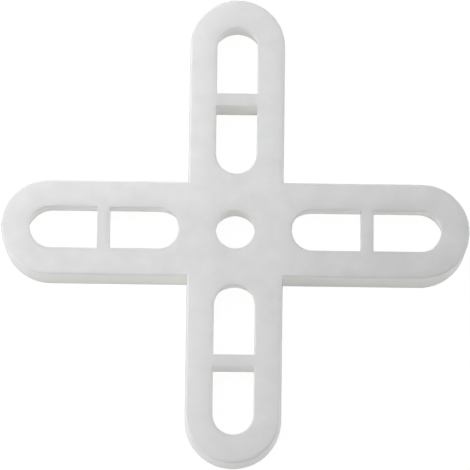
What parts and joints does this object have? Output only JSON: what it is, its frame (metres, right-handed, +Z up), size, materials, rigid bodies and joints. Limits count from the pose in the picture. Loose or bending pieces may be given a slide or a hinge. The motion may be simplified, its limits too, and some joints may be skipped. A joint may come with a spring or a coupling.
{
  "type": "tile spacer",
  "caption": "Flat cross-shaped tile spacer in milky translucent polyethylene, with round-ended slotted arms, a rib across each slot and a round hole in the hub.",
  "frame": {"origin": "centre of the cross on the back face, which the spacer lies on", "axes": "+Z up out of the front face, along the centre hole; the arms run along X and Y"},
  "size_m": [0.0482, 0.0482, 0.006],
  "materials": {
    "polyethylene": "satin, milky translucent, natural polyethylene as moulded"
  },
  "bodies": {
    "root": {"cross_spacer": "polyethylene"}
  },
  "joints": []
}
